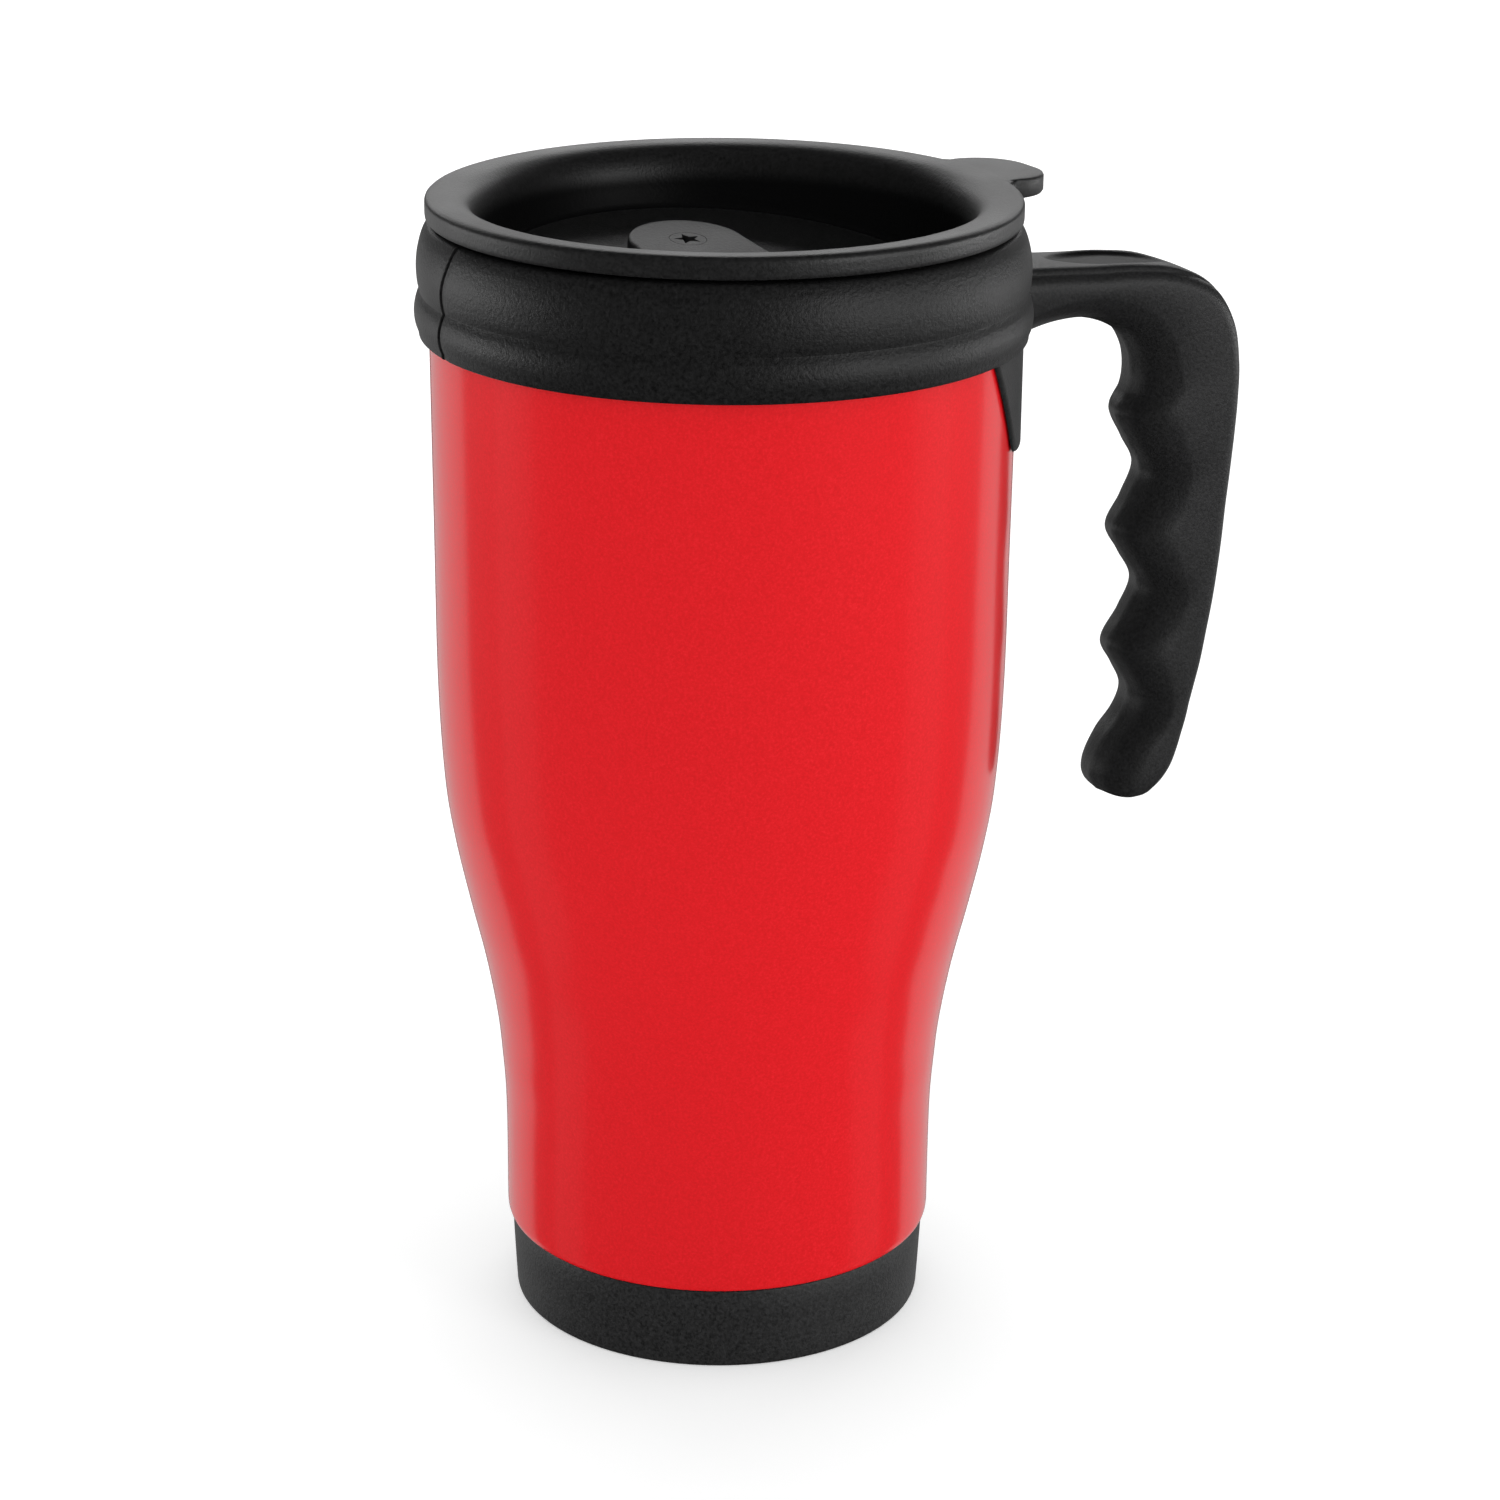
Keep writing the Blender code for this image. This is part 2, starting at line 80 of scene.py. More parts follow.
FLOOR_HEIGHT = 154.6
FLOOR_SLOPE = 0.13
FLOOR_THICKNESS = 1.8
PIVOT_OFFSET = frame["joints"][1]["pos_m"][1] / MM
PIVOT_HOLE_RADIUS = 2.1
STAR = (5, 2.1, 0.9)          # points, outer and inner radius of the recess in the pin's head
DRINK_HOLE_OFFSET = 20.0
DRINK_HOLE_SIZE = (14.0, 7.0)
VENT_PLACE = (-22.0, -9.0)
VENT_RADIUS = 1.2

CLOSURE_HEAD_RADIUS = 8.6
CLOSURE_END_RADIUS = 10.5
CLOSURE_REACH = 30.0
CLOSURE_THICKNESS = 2.6
THUMB_RIDGE_SIZE = (11.0, 2.4)
THUMB_RIDGE_OFFSET = 3.0      # from the centre of the wide end towards the pivot

SHELL_BOTTOM = box_mm("outer_shell")[0].z
SHELL_TOP = box_mm("outer_shell")[1].z
SHELL_WALL = 0.8
SHELL_STATIONS = (
    (13.9, 31.85), (30.0, 31.95), (38.5, 32.5), (45.0, 33.2), (54.0, 34.8), (63.5, 37.05),
    (73.0, 39.1), (82.0, 40.4), (97.0, 41.2), (120.0, 41.4), (SHELL_TOP, 41.65),
)
LINER_GAP = 3.0
LINER_WALL = 1.6
LINER_BOTTOM = box_mm("inner_liner")[0].z
LINER_RIM = box_mm("inner_liner")[1].z
NECK_RADIUS = 39.0
NECK_BOTTOM = 147.0

COLLAR_BOTTOM = box_mm("collar")[0].z
COLLAR_TOP = box_mm("collar")[1].z
COLLAR_CREASE = COLLAR_BOTTOM + 6.4
COLLAR_INNER_RADIUS = 40.95
COLLAR_SKIRT_RADIUS = 41.95
NECK_STEP = 0.35              # degrees over which the collar's edge steps up beside the neck
COLLAR_FILLET = 0.5           # height of the rounding along the lower edge
# Columns beside the parting line, in degrees from it.
PARTING_STEPS = (0.08, 0.16, 0.26, 0.38, 0.55, 0.8, 1.2, 1.8, 2.6)
PARTING_LEAN = 2.4            # degrees by which the parting line leans up to the collar's top

TONGUE_BOTTOM = 131.5
TONGUE_TOP = SHELL_TOP - 0.3
TONGUE_CORNER = (41.4, 133.1) # angle and height where the lower edge turns up into the flank
TONGUE_FLANK_LEAN = 0.887     # degrees by which the flank moves out for each millimetre of height
TONGUE_INNER_RADIUS = 41.85
TONGUE_OUTER_RADIUS = 42.42
TONGUE_HALF_ANGLE = TONGUE_CORNER[0] + TONGUE_FLANK_LEAN * (TONGUE_TOP - TONGUE_CORNER[1])
SKIRT_HALF_ANGLE = TONGUE_HALF_ANGLE + 0.4      # thin part of the collar's skirt, over the tongue
HANDLE_HALF_WIDTH = 7.4
# Half angle of the opening in the collar's edge for the handle's neck.
NECK_ANGLE = math.degrees(math.asin((HANDLE_HALF_WIDTH + GAP) / 43.0))
FOOT_HALF_ANGLE = 17.0

BASE_HEIGHT = SHELL_BOTTOM - 0.35
BASE_RADIUS = 31.15
SPIGOT_RADIUS = 30.65
PAD_RADIUS = 23.7
PAD_THICKNESS = 1.0

# Handle ribs from root to tip, in the plane of the handle: finger side point, then spine side point.
HANDLE_RIBS = (
    ((42.1, 139.8), (42.1, 154.1)),
    ((45.5, 142.2), (45.8, 154.0)),
    ((51.0, 143.9), (51.5, 153.7)),
    ((57.0, 144.4), (58.0, 153.3)),
    ((62.0, 143.5), (65.5, 152.9)),
    ((65.8, 141.4), (72.8, 151.7)),
    ((67.9, 138.2), (79.1, 148.4)),
    ((68.5, 134.9), (82.9, 142.6)),
    ((67.9, 131.8), (84.2, 136.3)),
    ((66.2, 128.6), (84.3, 130.5)),
    ((68.4, 124.2), (84.0, 125.0)),
    ((70.8, 119.7), (83.5, 119.0)),
    ((68.8, 114.9), (83.0, 113.8)),
    ((66.4, 110.4), (82.6, 108.6)),
    ((68.7, 106.2), (82.1, 103.8)),
    ((71.3, 101.6), (81.5, 99.2)),
    ((69.2, 96.9), (80.7, 94.6)),
    ((66.4, 92.2), (79.8, 89.6)),
    ((68.4, 88.3), (78.8, 85.6)),
    ((70.5, 84.3), (77.9, 82.1)),
    ((69.4, 80.6), (77.0, 78.5)),
    ((66.4, 76.9), (76.2, 75.8)),
    ((64.5, 73.5), (75.2, 73.4)),
    ((64.2, 70.9), (73.6, 71.1)),
    ((65.4, 68.9), (71.6, 69.2)),
    ((67.6, 68.1), (69.6, 68.3)),
)
THUMB_REST = (63.2, 10.6, 5.0)  # middle along X, half length and half breadth
THUMB_REST_DEPTH = 0.8
LAST_RIB = len(HANDLE_RIBS) - 1
FIRST_RIDGE_RIB = 9           # a valley or a ridge follows every two ribs from here on
LAST_RIDGE_RIB = 21
RIB_STEPS = 12
CROWN_STEPS = 18              # points across half of the spine's crown


# Mesh helpers

def smoothstep(low, high, value):
    t = min(max((value - low) / (high - low), 0.0), 1.0)
    return t * t * (3 - 2 * t)


def mix(a, b, weight):
    return a + (b - a) * weight


def smooth_through(points, steps):
    """Catmull-Rom points through the given ones, with steps to each stretch."""
    ends = [points[0], *points, points[-1]]
    result = []
    for before, start, end, after in zip(ends, ends[1:], ends[2:], ends[3:]):
        for step in range(steps):
            t = step / steps
            result.append(tuple(
                0.5 * (2 * b + (c - a) * t + (2 * a - 5 * b + 4 * c - d) * t ** 2
                       + (3 * b - a - 3 * c + d) * t ** 3)
                for a, b, c, d in zip(before, start, end, after)
            ))
    return [*result, tuple(points[-1])]


def arc(centre, radius, start, end, steps):
    """(x, y) points on an arc, with its start and end in degrees."""
    angles = [math.radians(start + (end - start) * step / steps) for step in range(steps + 1)]
    return [(centre[0] + radius * math.cos(a), centre[1] + radius * math.sin(a)) for a in angles]


def skin(rows, ring=False, wrap=True, caps=False):
    """A bmesh over rows of points. Points of a row that coincide share one vertex.

    ring joins the last row to the first one, wrap closes each row, and caps fills the first and last row.
    """
    bm = bmesh.new()
    made = []
    shared = {}
    for points in rows:
        row = []
        for point in points:
            key = tuple(round(value, 4) for value in point)
            if key not in shared:
                shared[key] = bm.verts.new(point)
            row.append(shared[key])
        made.append(row)
    pairs = list(zip(made, made[1:]))
    if ring:
        pairs.append((made[-1], made[0]))
    for lower, upper in pairs:
        count = len(lower)
        for index in range(count if wrap else count - 1):
            after = (index + 1) % count
            corners = [lower[index], lower[after], upper[after], upper[index]]
            unique = list(dict.fromkeys(corners))
            if len(unique) > 2 and not bm.faces.get(unique):
                bm.faces.new(unique)
    if caps:
        bm.faces.new(list(dict.fromkeys(reversed(made[0]))))
        bm.faces.new(list(dict.fromkeys(made[-1])))
    bmesh.ops.recalc_face_normals(bm, faces=bm.faces)
    return bm


def turned(profile, columns=COLUMNS, on_axis=False):
    """A body turned round Z from (radius, height) points."""
    rows = []
    for column in range(columns):
        angle = 2 * math.pi * column / columns
        rows.append([(r * math.cos(angle), r * math.sin(angle), z) for r, z in profile])
    return skin(rows, ring=True, wrap=not on_axis)


def stacked(levels):
    """A body from (outline, height) levels, lowest first, with flat ends."""
    return skin([[(x, y, z) for x, y in outline] for outline, z in levels], caps=True)


def placed(bm, matrix):
    bmesh.ops.transform(bm, matrix=matrix, verts=bm.verts)
    return bm


def add_object(name, bm):
    """The bmesh, given in millimetres, as an object in metres."""
    bmesh.ops.scale(bm, vec=(MM, MM, MM), verts=bm.verts)
    bmesh.ops.recalc_face_normals(bm, faces=bm.faces)
    mesh = bpy.data.meshes.new(name)
    bm.to_mesh(mesh)
    bm.free()
    obj = bpy.data.objects.new(name, mesh)
    bpy.context.scene.collection.objects.link(obj)
    return obj


def apply_modifiers(obj):
    graph = bpy.context.evaluated_depsgraph_get()
    finished = bpy.data.meshes.new_from_object(obj.evaluated_get(graph))
    obj.modifiers.clear()
    obj.data = finished
    return obj


def combine(obj, bm, operation):
    """Joins the bmesh to the object, or cuts it away, and removes the helper."""
    helper = add_object(obj.name + "_helper", bm)
    modifier = obj.modifiers.new("combine", "BOOLEAN")
    modifier.operation = operation
    modifier.solver = "EXACT"
    modifier.object = helper
    apply_modifiers(obj)
    bpy.data.objects.remove(helper, do_unlink=True)
    return obj


def finish_piece(obj, node, body, material, sharp=38.0, weighted=False):
    """Shading, material and the piece's place in the frame."""
    obj.data.materials.clear()
    obj.data.materials.append(material)
    obj.data.shade_smooth()
    obj.data.set_sharp_from_angle(angle=math.radians(sharp))
    if weighted:
        modifier = obj.modifiers.new("even_normals", "WEIGHTED_NORMAL")
        modifier.keep_sharp = True
    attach(obj, body)
    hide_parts(node)
    return obj


def floor_matrix(y):
    """Place on top of the lid floor at the given Y, with local Z along the floor's normal."""
    height = FLOOR_HEIGHT + FLOOR_SLOPE * y
    return Matrix.Translation((0, y, height)) @ Matrix.Rotation(math.atan(FLOOR_SLOPE), 4, "X")


# Materials

ROUGHNESS_SPREAD = 0.05
# Painted shade: a darker colour and less sheen laid on the lid's recess wall and on the thumb rest, where
# shade falls.
PAINTED_SHADE_COLOUR = (0.0045, 0.0045, 0.0047)
PAINTED_SHADE_SHEEN = 0.2          # share of the specular level kept where shade is painted
# Painted shade on the recess wall starts between these radii and depths, and on the thumb rest above
# these heights.
SHADED_WALL_RADII = (33.2, 33.5)
SHADED_WALL_DEPTHS = (3.2, 5.6)               # below the top of the lid
SHADED_ARM_HEIGHTS = (147.0, 148.5)


def new_material(name, roughness, specular=0.5):
    material = bpy.data.materials.new(name)
    material.use_nodes = True
    shader = material.node_tree.nodes["Principled BSDF"]
    shader.inputs["Roughness"].default_value = roughness
    shader.inputs["Specular IOR Level"].default_value = specular
    return material, material.node_tree.nodes, material.node_tree.links, shader


def noise(nodes, links, scale, detail=2.0, roughness=0.5):
    """Noise in object space; scale is in features per metre."""
    place = nodes.new("ShaderNodeTexCoord")
    texture = nodes.new("ShaderNodeTexNoise")
    texture.inputs["Scale"].default_value = scale
    texture.inputs["Detail"].default_value = detail
    texture.inputs["Roughness"].default_value = roughness
    links.new(place.outputs["Object"], texture.inputs["Vector"])
    return texture


def ramp(nodes, links, source, stops):
    """Colour ramp over (position, colour) stops."""
    node = nodes.new("ShaderNodeValToRGB")
    elements = node.color_ramp.elements
    for element, (position, colour) in zip(elements, (stops[0], stops[-1])):
        element.position = position
        element.color = (*colour, 1.0)
    for position, colour in stops[1:-1]:
        elements.new(position).color = (*colour, 1.0)
    links.new(source, node.inputs["Fac"])
    return node


def spread(nodes, links, source, low, high, target):
    """Maps the middle of a noise onto the range low to high of a shader input."""
    node = nodes.new("ShaderNodeMapRange")
    node.inputs["From Min"].default_value = 0.3
    node.inputs["From Max"].default_value = 0.7
    node.inputs["To Min"].default_value = low
    node.inputs["To Max"].default_value = high
    links.new(source, node.inputs["Value"])
    links.new(node.outputs["Result"], target)


def bump(nodes, links, height, depth, shader):
    node = nodes.new("ShaderNodeBump")
    node.inputs["Strength"].default_value = 1.0
    node.inputs["Distance"].default_value = depth
    links.new(height, node.inputs["Height"])
    links.new(node.outputs["Normal"], shader.inputs["Normal"])


def make_lacquer():
    """Glossy red lacquer with a very fine sparkle under a clear coat."""
    material, nodes, links, shader = new_material("red_lacquer", 0.42, specular=0.1)
    sparkle = noise(nodes, links, 2600.0, detail=3.0, roughness=0.7)
    colours = ramp(nodes, links, sparkle.outputs["Fac"], [
        (0.30, (0.63, 0.0025, 0.0055)), (0.52, (0.71, 0.0032, 0.0075)), (0.74, (0.79, 0.009, 0.017)),
    ])
    links.new(colours.outputs["Color"], shader.inputs["Base Color"])
    spread(nodes, links, sparkle.outputs["Fac"], 0.36, 0.48, shader.inputs["Roughness"])
    peel = noise(nodes, links, 260.0, detail=1.0)
    bump(nodes, links, peel.outputs["Fac"], 0.00001, shader)
    shader.inputs["Coat Weight"].default_value = 1.0
    shader.inputs["Coat Roughness"].default_value = 0.16
    shader.inputs["Coat IOR"].default_value = 1.45
    return material


def make_plastic(name, colour, roughness, grain, depth, contrast=0.25, specular=0.5, painted_shade_zone=None):
    """Moulded plastic: spark-eroded grain of the given features per metre and depth in metres.

    The optional zone gives a mask for painted shade: a darker colour there, with next to no sheen.
    """
    material, nodes, links, shader = new_material(name, roughness, specular)
    fine = noise(nodes, links, grain, detail=3.0, roughness=0.65)
    dark = tuple(value * (1 - contrast) for value in colour)
    light = tuple(value * (1 + contrast) for value in colour)
    colours = ramp(nodes, links, fine.outputs["Fac"], [(0.32, dark), (0.5, colour), (0.7, light)])
    links.new(colours.outputs["Color"], shader.inputs["Base Color"])
    wear = noise(nodes, links, grain / 60, detail=2.0)
    low, high = roughness - ROUGHNESS_SPREAD, roughness + ROUGHNESS_SPREAD
    spread(nodes, links, wear.outputs["Fac"], low, high, shader.inputs["Roughness"])
    bump(nodes, links, fine.outputs["Fac"], depth, shader)
    if painted_shade_zone:
        mask = painted_shade_zone(nodes, links)
        # Painted shade: the zone's mask mixes in a darker colour and lowers the specular level.
        shade_mix = nodes.new("ShaderNodeMix")
        shade_mix.data_type = "RGBA"
        shade_mix.inputs["B"].default_value = (*PAINTED_SHADE_COLOUR, 1.0)
        links.new(mask, shade_mix.inputs["Factor"])
        links.new(colours.outputs["Color"], shade_mix.inputs["A"])
        links.new(shade_mix.outputs["Result"], shader.inputs["Base Color"])
        sheen = nodes.new("ShaderNodeMapRange")
        sheen.inputs["To Min"].default_value = specular
        sheen.inputs["To Max"].default_value = specular * PAINTED_SHADE_SHEEN
        links.new(mask, sheen.inputs["Value"])
        links.new(sheen.outputs["Result"], shader.inputs["Specular IOR Level"])
    return material


def object_place(nodes, links, centre=(0.0, 0.0, 0.0), scale=(1.0, 1.0, 1.0)):
    """Length of the place on the object from a centre in metres, with its own scale along each axis."""
    place = nodes.new("ShaderNodeTexCoord")
    moved = nodes.new("ShaderNodeVectorMath")
    moved.operation = "SUBTRACT"
    moved.inputs[1].default_value = centre
    scaled = nodes.new("ShaderNodeVectorMath")
    scaled.operation = "MULTIPLY"
    scaled.inputs[1].default_value = scale
    length = nodes.new("ShaderNodeVectorMath")
    length.operation = "LENGTH"
    links.new(place.outputs["Object"], moved.inputs[0])
    links.new(moved.outputs["Vector"], scaled.inputs[0])
    links.new(scaled.outputs["Vector"], length.inputs[0])
    return length.outputs["Value"]


def step_at(nodes, links, source, start, end):
    """0 before start and 1 after end."""
    node = nodes.new("ShaderNodeMapRange")
    node.interpolation_type = "SMOOTHSTEP"
    node.inputs["From Min"].default_value = start
    node.inputs["From Max"].default_value = end
    links.new(source, node.inputs["Value"])
    return node.outputs["Result"]


def product(nodes, links, first, second):
    node = nodes.new("ShaderNodeMath")
    node.operation = "MULTIPLY"
    links.new(first, node.inputs[0])
    links.new(second, node.inputs[1])
    return node.outputs["Value"]


def recess_wall_shade_zone(nodes, links):
    """Mask for painted shade on the wall of the lid's recess, from just under the rolled rim to the
    floor.
    """
    radius = object_place(nodes, links, scale=(1.0, 1.0, 0.0))
    height = object_place(nodes, links, scale=(0.0, 0.0, 1.0))
    start, end = SHADED_WALL_RADII
    outside_floor = step_at(nodes, links, radius, start * MM, end * MM)
    start, end = SHADED_WALL_DEPTHS
    below_rim = step_at(nodes, links, height, (LID_TOP - start) * MM, (LID_TOP - end) * MM)
    return product(nodes, links, outside_floor, below_rim)


def thumb_rest_shade_zone(nodes, links):
    """Mask for painted shade on the oval thumb rest on top of the arm."""
    middle, half_length, half_breadth = (value * MM for value in THUMB_REST)
    centre = (middle, 0.0, 0.0)
    distance = object_place(nodes, links, centre, (1 / half_length, 1 / half_breadth, 0.0))
    height = object_place(nodes, links, scale=(0.0, 0.0, 1.0))
    inside = step_at(nodes, links, distance, 1.0, 0.9)
    start, end = SHADED_ARM_HEIGHTS
    on_top = step_at(nodes, links, height, start * MM, end * MM)
    return product(nodes, links, inside, on_top)


LACQUER = make_lacquer()
BASE_PLASTIC = make_plastic("base_plastic", (0.018, 0.018, 0.0185), 0.58, 2000.0, 0.00010, 0.6, 0.95)
COLLAR_PLASTIC = make_plastic("collar_plastic", (0.0090, 0.0090, 0.0093), 0.50, 1900.0, 0.00010, 0.6,
                              0.75)
# The handle's plastic carries painted shade on the thumb rest.
HANDLE_PLASTIC = make_plastic("handle_plastic", (0.0160, 0.0160, 0.0165), 0.46, 2200.0, 0.00006, 0.4, 0.5,
                              thumb_rest_shade_zone)
# The lid's plastic carries painted shade on its recess wall.
LID_PLASTIC = make_plastic("lid_plastic", (0.0120, 0.0120, 0.0123), 0.44, 2200.0, 0.00006, 0.5, 0.85,
                           recess_wall_shade_zone)
CLOSURE_PLASTIC = make_plastic("closure_plastic", (0.0200, 0.0200, 0.0205), 0.52, 2000.0, 0.00007, 0.4,
                               1.0)
LINER_PLASTIC = make_plastic("liner_plastic", (0.012, 0.012, 0.013), 0.38, 1800.0, 0.00002, 0.2)
SILICONE = make_plastic("seal_silicone", (0.16, 0.16, 0.165), 0.55, 1500.0, 0.00002, 0.15)
PAD_RUBBER = make_plastic("pad_rubber", (0.010, 0.010, 0.010), 0.85, 1600.0, 0.00012, 0.5, 0.3)


# Body

def shell_curve(inset, low, high, steps):
    """(radius, height) points up the shell's S-curve, moved in by inset and cut to a range of height."""
    curve = smooth_through(SHELL_STATIONS, steps)
    return [(radius - inset, z) for z, radius in curve if low <= z <= high]


def make_outer_shell():
    outer = shell_curve(0.0, SHELL_BOTTOM, SHELL_TOP, 8)
    inner = [(radius - SHELL_WALL, z) for radius, z in outer]
    lip = [(31.1, SHELL_BOTTOM + 0.15), (31.2, SHELL_BOTTOM), (31.45, SHELL_BOTTOM + 0.03),
           (31.68, SHELL_BOTTOM + 0.22), (31.8, SHELL_BOTTOM + 0.6)]
    obj = add_object("outer_shell_piece", turned(lip + outer + inner[::-1]))
    obj.visible_diffuse = False     # keeps the red light of the shell off the black pieces
    obj.visible_glossy = False
    return finish_piece(obj, "outer_shell", "body", LACQUER)


def make_inner_liner():
    inset = SHELL_WALL + LINER_GAP
    body = shell_curve(inset, 30.0, 125.0, 4)
    foot = body[0][0]
    outside = arc((foot - 5.0, LINER_BOTTOM + 5.0), 5.0, -90, 0, 6)
    inside = arc((foot - 5.0, LINER_BOTTOM + 5.0), 5.0 - LINER_WALL, 0, -90, 6)
    neck_inner = NECK_RADIUS - LINER_WALL
    profile = [(0, LINER_BOTTOM), *outside, *body, (38.5, 140.0), (NECK_RADIUS, NECK_BOTTOM)]
    profile += [(NECK_RADIUS, LINER_RIM - 0.4), (NECK_RADIUS - 0.4, LINER_RIM)]
    profile += [(neck_inner + 0.4, LINER_RIM), (neck_inner, LINER_RIM - 0.4), (neck_inner, NECK_BOTTOM)]
    profile += [(38.5 - LINER_WALL, 140.0)]
    profile += [(radius - LINER_WALL, z) for radius, z in reversed(body)]
    profile += [*inside, (0, LINER_BOTTOM + LINER_WALL)]
    obj = add_object("inner_liner_piece", turned(profile, on_axis=True))
    return finish_piece(obj, "inner_liner", "body", LINER_PLASTIC)


def make_neck_seal():
    section = arc((39.9, 145.2), 0.55, 0, 330, 11)
    obj = add_object("neck_seal_piece", turned(section))
    return finish_piece(obj, "neck_seal", "body", SILICONE)


def make_base_cap():
    recess = PAD_RADIUS + GAP
    floor = PAD_THICKNESS + GAP
    foot = [(0, floor), (recess, floor), (recess, 0.25), (recess + 0.25, 0), (30.0, 0), (30.3, 0.06),
            (30.48, 0.25), (30.55, 0.55)]
    side = [(30.72, 3.5), (30.98, 8.5), (BASE_RADIUS, BASE_HEIGHT - 0.3),
            (BASE_RADIUS - 0.15, BASE_HEIGHT)]
    inside = [(SPIGOT_RADIUS, BASE_HEIGHT), (SPIGOT_RADIUS, 19.2), (SPIGOT_RADIUS - 0.3, 19.5),
              (29.2, 19.5), (28.9, 3.4), (14.6, 3.4), (14.6, 15.1), (13.0, 15.1), (13.0, 3.4), (0, 3.4)]
    obj = add_object("base_cap_piece", turned(foot + side + inside, on_axis=True))
    return finish_piece(obj, "base_cap", "body", BASE_PLASTIC)


def make_base_pad():
    profile = [(0, 0), (PAD_RADIUS - 0.4, 0), (PAD_RADIUS - 0.1, 0.12), (PAD_RADIUS, 0.4),
               (PAD_RADIUS, PAD_THICKNESS), (0, PAD_THICKNESS)]
    obj = add_object("base_pad_piece", turned(profile, on_axis=True))
    return finish_piece(obj, "base_pad", "body", PAD_RUBBER)


# Collar

def collar_low(degrees):
    """Height of the collar's lower edge at an angle from the handle; at the neck it is the crease's."""
    away = smoothstep(NECK_ANGLE, NECK_ANGLE + NECK_STEP, abs(degrees))
    return mix(COLLAR_CREASE - 0.1, COLLAR_BOTTOM, away)


def collar_angles():
    """Column angles in degrees: even, and closer together beside the neck and at the parting line."""
    angles = {360 * column / COLUMNS - 180 for column in range(1, COLUMNS + 1)}
    for edge in (NECK_ANGLE, SKIRT_HALF_ANGLE):
        for part in (0.0, 0.12, 0.24, 0.36):
            angles |= {edge + part, -edge - part}
    for part in PARTING_STEPS:
        angles |= {180 - part, part - 180}
    ordered = sorted(angles)
    return [ordered[0]] + [b for a, b in zip(ordered, ordered[1:]) if b - a > 0.05]


def side_at(points, z):
    """Radius at a height on a line of (radius, height) points."""
    for (r0, z0), (r1, z1) in zip(points, points[1:]):
        if min(z0, z1) <= z <= max(z0, z1) and z0 != z1:
            return mix(r0, r1, (z - z0) / (z1 - z0))
    return points[-1][0] if abs(points[-1][1] - z) < abs(points[0][1] - z) else points[0][0]


def parting_depth(degrees, z):
    """How far the parting line opposite the handle cuts in, with a faint ridge along its far side."""
    offset = 180 - abs(degrees)
    if offset > 3.0:
        return 0.0
    near_crease = math.exp(-((z - COLLAR_CREASE) / 1.6) ** 2)
    groove = (0.34 + 0.22 * near_crease) * max(1 - offset / 0.3, 0.0)
    ridge = 0.09 * math.exp(-((offset - 0.5) / 0.2) ** 2)
    edge = 0.10 * math.exp(-((offset - 0.6) / 0.7) ** 2)
    return groove - ridge if degrees > 0 else groove + edge


def parting_shift(degrees, z):
    """Degrees by which a column is turned, so that the parting line leans on the upper bulge."""
    lean = PARTING_LEAN * smoothstep(COLLAR_CREASE + 1.9, COLLAR_TOP, z)
    return lean * (1 - smoothstep(2.6, 9.0, 180 - abs(degrees)))


def make_collar():
    """Ring with two soft bulges and a crease between them. Its skirt is thin over the handle's tongue."""
    upper = [(41.0, COLLAR_TOP), (41.6, COLLAR_TOP - 0.25), (42.1, COLLAR_TOP - 0.95),
             (42.65, COLLAR_TOP - 2.2), (43.15, COLLAR_TOP - 4.2), (43.33, COLLAR_TOP - 6.2),
             (43.22, COLLAR_TOP - 8.2), (42.96, COLLAR_CREASE + 0.25), (42.9, COLLAR_CREASE)]
    lower = [(42.9, COLLAR_CREASE), (43.02, COLLAR_CREASE - 0.3), (43.42, COLLAR_CREASE - 1.3),
             (43.7, COLLAR_CREASE - 2.8), (43.58, COLLAR_CREASE - 4.3), (43.15, COLLAR_CREASE - 5.5)]
    outer = smooth_through(upper, 4) + smooth_through(lower, 4)[1:]
    thin_top = TONGUE_TOP + GAP
    rows = []
    for degrees in collar_angles():
        over_tongue = abs(degrees) < SKIRT_HALF_ANGLE
        skirt = TONGUE_OUTER_RADIUS + GAP if over_tongue else COLLAR_SKIRT_RADIUS
        inner = [(skirt, COLLAR_BOTTOM), (skirt, thin_top), (COLLAR_SKIRT_RADIUS, thin_top + 0.05),
                 (COLLAR_SKIRT_RADIUS, SHELL_TOP + 0.4), (COLLAR_INNER_RADIUS, SHELL_TOP + 0.6),
                 (COLLAR_INNER_RADIUS, COLLAR_TOP - 1.8), (NECK_RADIUS + GAP, COLLAR_TOP - 1.6),
                 (NECK_RADIUS + GAP, COLLAR_TOP)]
        low = collar_low(degrees)
        rounding_top = low + COLLAR_FILLET
        edge = side_at(outer, rounding_top)
        section = [(r, z) if z > rounding_top else (edge, rounding_top) for r, z in outer]
        bend = min(edge - side_at(inner, low) - 0.1, COLLAR_FILLET * 1.2)
        section += [(edge - bend * (1 - math.cos(a)), low + COLLAR_FILLET * (1 - math.sin(a)))
                    for a in (math.radians(30), math.radians(60), math.radians(90))]
        section = [(r - parting_depth(degrees, z), z) for r, z in section]
        section += [(r, z) if z > low else (side_at(inner, low), low) for r, z in inner]
        row = []
        for r, z in section:
            angle = math.radians(degrees + parting_shift(degrees, z))
            row.append((r * math.cos(angle), r * math.sin(angle), z))
        rows.append(row)
    obj = add_object("collar_piece", skin(rows, ring=True))
    return finish_piece(obj, "collar", "body", COLLAR_PLASTIC, sharp=50.0)


# Handle

def valley(place):
    """1 in the middle of a finger valley and under the arm, 0 on a ridge and at the tip."""
    if place < FIRST_RIDGE_RIB:
        return 1 - smoothstep(FIRST_RIDGE_RIB - 2.0, FIRST_RIDGE_RIB, place)
    if place > LAST_RIDGE_RIB:
        return 0.0
    return 0.5 * (1 - math.cos(math.pi * (place - FIRST_RIDGE_RIB) / 2))


